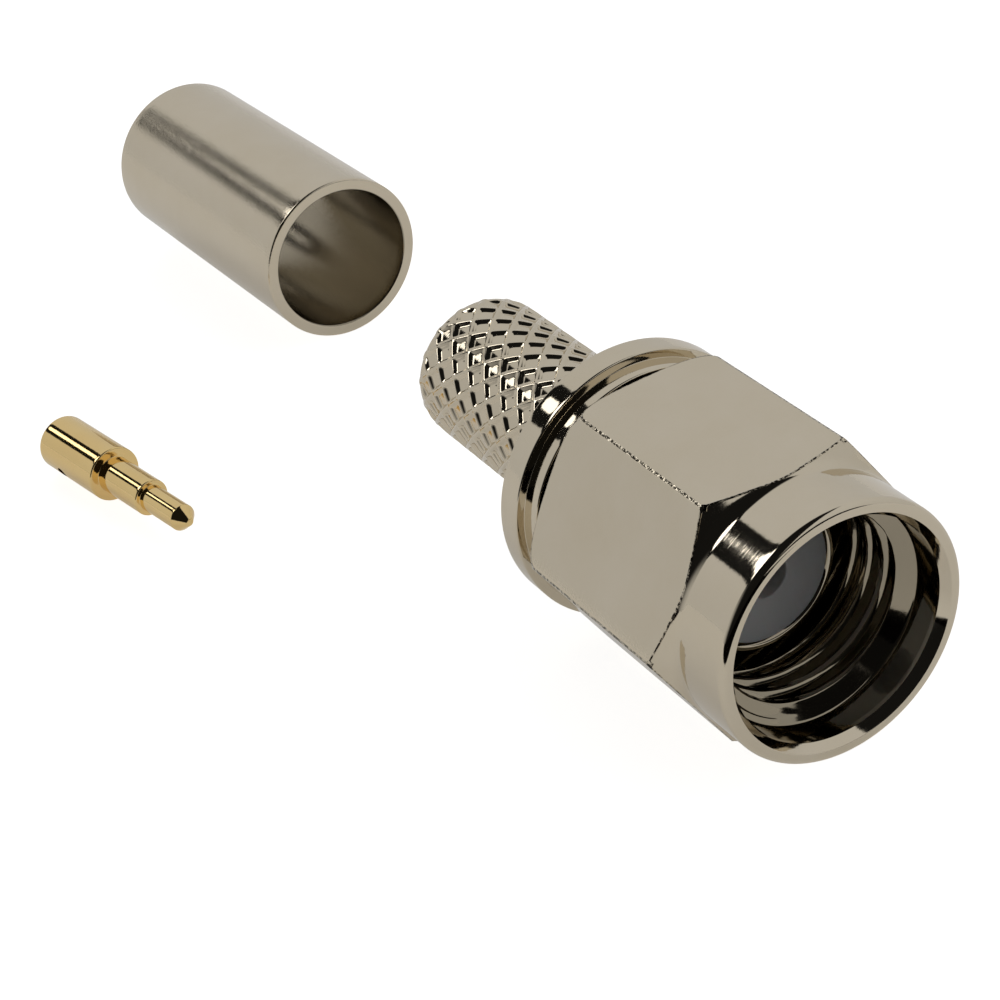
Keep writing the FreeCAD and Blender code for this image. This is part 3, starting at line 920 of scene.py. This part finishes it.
# Where the card's painted dark patch starts, which only reflections and bounce light see: the axis,
# and the two places between which it sets in
PAINTED_DARK_FLOOR_EDGES = (("X", 14.2 * MM, 14.8 * MM), ("Y", 5.4 * MM, 4.8 * MM))
CARD_GLOW_IN_VIEW = 0.86
CARD_GLOW_IN_METAL = 0.31
FLOOR_HALF_WIDTH = 1.0
FLOOR_GAP = 0.002 * MM

LAMP_DIRECTION = (-0.524, -0.416, 0.743)
WINDOW_DIRECTION = (-0.755, -0.317, 0.574)
SCREEN_DIRECTION = (0.93, 0.33, -0.05)
# Parts of the studio. Each is a smooth step of the cosine between a direction and an axis: the
# axis, the cosines where the step starts and ends, and the part's level before and after it.
STUDIO_PARTS = {
    "facing": (TOWARDS_CAMERA, -0.09, 0.17, 0.0, 1.0),
    "before_edge": (CAMERA_RIGHT, 0.46, 0.41, 0.0, 1.0),
    "leftward": (CAMERA_RIGHT, -1.15, -0.65, 0.0, 1.0),
    "lamp_frame": (LAMP_DIRECTION, 0.946, 0.951, 0.0, 1.0),
    "screen": (SCREEN_DIRECTION, 0.916, 0.930, 0.0, 1.0),
    "window_frame": (WINDOW_DIRECTION, 0.9745, 0.9775, 0.0, 1.0),
    "room": ((0, 0, 1), 0.0, 0.7, 0.70, 0.76),
    "lamp": (LAMP_DIRECTION, 0.9778, 0.9796, 0.0, 3.5),
    "window": (WINDOW_DIRECTION, 0.9972, 0.9980, 0.0, 2.5),
}
DARK_LEVEL_IN_METAL = 0.015
DARK_LEVEL_ON_MATT = 0.13


def make_camera():
    """The photograph's view: place, direction and roll, with the focal length in sensor widths."""
    data = bpy.data.cameras.new("camera")
    data.sensor_width = SENSOR_WIDTH
    data.lens = SENSOR_WIDTH * CAMERA_FOCAL_SHARE
    data.clip_start = 1 * MM
    data.clip_end = 10.0
    camera = bpy.data.objects.new("camera", data)
    bpy.context.scene.collection.objects.link(camera)
    level = CAMERA_AIM.to_track_quat("-Z", "Y").to_matrix().to_4x4()
    roll = Matrix.Rotation(math.radians(CAMERA_ROLL_DEG), 4, "Z")
    camera.matrix_world = Matrix.Translation(CAMERA_PLACE) @ level @ roll
    bpy.context.scene.camera = camera


def pale_floor_material():
    """Matt white card that every ray but the camera's sees painted dark beyond an edge: a painted
    dark reflection in the metal, and less bounce light.

    The camera sees the white card alone, with the pieces' soft shadows on it. Glossy rays see the
    rest of the card glow a little, a painted brighter reflection.
    """
    material, tree, output, place = empty_material("matt_white_card")
    split = add_node(tree, "ShaderNodeSeparateXYZ", {"Vector": place}).outputs
    beyond_x, beyond_y = (
        add_node(
            tree, "ShaderNodeMapRange", {"Value": split[axis], "From Min": start, "From Max": end},
            interpolation_type="SMOOTHSTEP").outputs[0]
        for axis, start, end in PAINTED_DARK_FLOOR_EDGES)
    path = add_node(tree, "ShaderNodeLightPath").outputs
    # Dark for every ray but the camera's, beyond the edges: painted dark reflection
    painted_dark_floor = add_node(
        tree, "ShaderNodeMath", {0: 1.0, 1: path["Is Camera Ray"]}, operation="SUBTRACT").outputs[0]
    for edge in (beyond_x, beyond_y):
        painted_dark_floor = add_node(
            tree, "ShaderNodeMath", {0: painted_dark_floor, 1: edge}, operation="MULTIPLY").outputs[0]
    shade = add_node(tree, "ShaderNodeMix", {
        "Factor": painted_dark_floor, 6: rgba(linear(CARD_COLOUR)), 7: rgba(linear(PAINTED_DARK_FLOOR_COLOUR)),
    }, data_type="RGBA").outputs[2]
    card = add_node(tree, "ShaderNodeBsdfDiffuse", {"Color": shade})
    mirrored = add_node(
        tree, "ShaderNodeMath", {0: 1.0, 1: painted_dark_floor}, operation="SUBTRACT").outputs[0]
    for factor in (path["Is Glossy Ray"], CARD_GLOW_IN_METAL):
        mirrored = add_node(
            tree, "ShaderNodeMath", {0: mirrored, 1: factor}, operation="MULTIPLY").outputs[0]
    strength = add_node(
        tree, "ShaderNodeMath", {0: path["Is Camera Ray"], 1: CARD_GLOW_IN_VIEW, 2: mirrored},
        operation="MULTIPLY_ADD").outputs[0]
    glow = add_node(tree, "ShaderNodeEmission", {"Strength": strength})
    both = add_node(tree, "ShaderNodeAddShader", {0: card.outputs[0], 1: glow.outputs[0]})
    tree.links.new(both.outputs[0], output.inputs["Surface"])
    return material


def make_floor():
    """A flat floor far wider than the view, just under the pieces."""
    half = FLOOR_HALF_WIDTH
    height = FLOOR_HEIGHT - FLOOR_GAP
    mesh = bpy.data.meshes.new("floor")
    square = ((-half, -half), (half, -half), (half, half), (-half, half))
    mesh.from_pydata([(x, y, height) for x, y in square], [], [(0, 1, 2, 3)])
    mesh.materials.append(pale_floor_material())
    floor = bpy.data.objects.new("floor", mesh)
    bpy.context.scene.collection.objects.link(floor)


def make_studio():
    """A pale room whose side behind the camera is dark, with a small round lamp and a window.

    The dark side reaches from the horizon to the zenith and ends sharply to the camera's right.
    Lamp and window hang at its upper left in dark frames, and a dark screen stands in front of
    the mouth. Metals reflect all of it. Matt surfaces see a paler dark side and neither lamp nor
    window, and the camera sees plain white.
    """
    world = bpy.data.worlds.new("studio")
    bpy.context.scene.world = world
    world.use_nodes = True
    tree = world.node_tree
    tree.nodes.clear()
    output = add_node(tree, "ShaderNodeOutputWorld")
    direction = add_node(tree, "ShaderNodeTexCoord").outputs["Generated"]
    parts = {}
    for name, (axis, start, end, before, after) in STUDIO_PARTS.items():
        cosine = add_node(
            tree, "ShaderNodeVectorMath", {0: direction, 1: Vector(axis).normalized()},
            operation="DOT_PRODUCT").outputs["Value"]
        parts[name] = add_node(tree, "ShaderNodeMapRange", {
            "Value": cosine, "From Min": start, "From Max": end, "To Min": before, "To Max": after,
        }, interpolation_type="SMOOTHSTEP").outputs[0]
    dark = parts["facing"]
    for operation, name in (
            ("MULTIPLY", "before_edge"), ("MULTIPLY", "leftward"), ("MAXIMUM", "lamp_frame"),
            ("MAXIMUM", "screen"), ("MAXIMUM", "window_frame")):
        dark = add_node(
            tree, "ShaderNodeMath", {0: dark, 1: parts[name]}, operation=operation).outputs[0]
    shiny, matt = (
        add_node(
            tree, "ShaderNodeMapRange", {"Value": dark, "To Min": 1.0, "To Max": level},
            interpolation_type="SMOOTHSTEP").outputs[0]
        for level in (DARK_LEVEL_IN_METAL, DARK_LEVEL_ON_MATT))
    for operation, name in (("MULTIPLY", "room"), ("ADD", "lamp"), ("ADD", "window")):
        shiny = add_node(
            tree, "ShaderNodeMath", {0: shiny, 1: parts[name]}, operation=operation).outputs[0]
    path = add_node(tree, "ShaderNodeLightPath").outputs
    strength = matt
    for ray, level in (("Is Glossy Ray", shiny), ("Is Camera Ray", 1.0)):
        strength = add_node(
            tree, "ShaderNodeMix", {"Factor": path[ray], 2: strength, 3: level},
            data_type="FLOAT").outputs[0]
    background = add_node(tree, "ShaderNodeBackground", {"Strength": strength})
    tree.links.new(background.outputs[0], output.inputs["Surface"])


# Operators

class PLUG_OT_coupling_nut(bpy.types.Operator):
    """Build the coupling nut with its hexagon, front ring and thread"""
    bl_idname = "plug.coupling_nut"
    bl_label = "Coupling nut"

    def execute(self, context):
        scene = context.scene
        material = nickel_on_machined_brass(scene.plug_finishes)
        new_piece("nut_shell", nut_mesh(scene.plug_nut), material, NUT,
                  "coupling_nut")
        return {"FINISHED"}


class PLUG_OT_connector_body(bpy.types.Operator):
    """Build the turned body with its collar and knurled crimp stem"""
    bl_idname = "plug.connector_body"
    bl_label = "Connector body"

    def execute(self, context):
        scene = context.scene
        material = nickel_on_machined_brass(scene.plug_finishes)
        new_piece("body_shell", body_mesh(scene.plug_body), material, CONNECTOR,
                  "connector_body")
        return {"FINISHED"}


class PLUG_OT_insulator(bpy.types.Operator):
    """Build the white insulator bead"""
    bl_idname = "plug.insulator"
    bl_label = "Insulator"

    def execute(self, context):
        scene = context.scene
        new_piece("insulator_bead", insulator_mesh(scene.plug_insulator, scene.plug_contact),
                  turned_ptfe(scene.plug_finishes), CONNECTOR, "insulator")
        return {"FINISHED"}


class PLUG_OT_crimp_ferrule(bpy.types.Operator):
    """Build the loose crimp ferrule"""
    bl_idname = "plug.crimp_ferrule"
    bl_label = "Crimp ferrule"

    def execute(self, context):
        scene = context.scene
        new_piece("ferrule_tube", ferrule_mesh(scene.plug_ferrule),
                  nickel_on_drawn_tube(scene.plug_finishes), CONNECTOR,
                  "crimp_ferrule")
        return {"FINISHED"}


class PLUG_OT_centre_contact(bpy.types.Operator):
    """Build the loose gold-plated centre contact"""
    bl_idname = "plug.centre_contact"
    bl_label = "Centre contact"

    def execute(self, context):
        scene = context.scene
        sizes = scene.plug_contact
        mesh = drilled(contact_mesh(sizes), sizes)
        laid_out(mesh, contact_place(sizes), sizes.yaw)
        new_piece("contact_pin", mesh, gold_on_machined_brass(scene.plug_finishes),
                  CONNECTOR, "centre_contact")
        return {"FINISHED"}


class PLUG_OT_hidden_pieces(bpy.types.Operator):
    """Finish the retaining ring and the gasket, whose CAD shapes stay"""
    bl_idname = "plug.hidden_pieces"
    bl_label = "Ring and gasket"

    def execute(self, context):
        finishes = context.scene.plug_finishes
        for node, material in (
            ("retaining_ring", sprung_bronze(finishes)),
            ("sealing_gasket", moulded_rubber(finishes)),
        ):
            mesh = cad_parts[node].data
            mesh.materials.clear()
            mesh.materials.append(material)
        return {"FINISHED"}


class PLUG_OT_stage(bpy.types.Operator):
    """Make the camera, the pale floor and the studio's light"""
    bl_idname = "plug.stage"
    bl_label = "Stage"

    def execute(self, context):
        make_camera()
        make_floor()
        make_studio()
        context.scene.view_settings.view_transform = "Standard"
        return {"FINISHED"}


STEPS = (
    PLUG_OT_stage,
    PLUG_OT_connector_body,
    PLUG_OT_coupling_nut,
    PLUG_OT_insulator,
    PLUG_OT_crimp_ferrule,
    PLUG_OT_centre_contact,
    PLUG_OT_hidden_pieces,
)


class PLUG_PT_sidebar(bpy.types.Panel):
    """Lists the plug's pieces in the 3D view's sidebar"""
    bl_idname = "PLUG_PT_sidebar"
    bl_label = "SMA Plug"
    bl_space_type = "VIEW_3D"
    bl_region_type = "UI"
    bl_category = "SMA Plug"

    def draw(self, context):
        for step in STEPS:
            self.layout.operator(step.bl_idname)


SETTINGS = {
    "plug_nut": NutSizes,
    "plug_body": BodySizes,
    "plug_insulator": InsulatorSizes,
    "plug_contact": ContactSizes,
    "plug_ferrule": FerruleSizes,
    "plug_finishes": Finishes,
}


def register():
    """Adds the classes to Blender, and the settings to its scenes."""
    for cls in (*SETTINGS.values(), *STEPS, PLUG_PT_sidebar):
        bpy.utils.register_class(cls)
    for name, group in SETTINGS.items():
        setattr(bpy.types.Scene, name, bpy.props.PointerProperty(type=group))


def unregister():
    """Takes the settings and the classes out again."""
    for name in SETTINGS:
        delattr(bpy.types.Scene, name)
    for cls in reversed((*SETTINGS.values(), *STEPS, PLUG_PT_sidebar)):
        bpy.utils.unregister_class(cls)


def main():
    register()
    for step in STEPS:
        group, operator = step.bl_idname.split(".")
        getattr(getattr(bpy.ops, group), operator)()


if __name__ == "__main__":
    main()
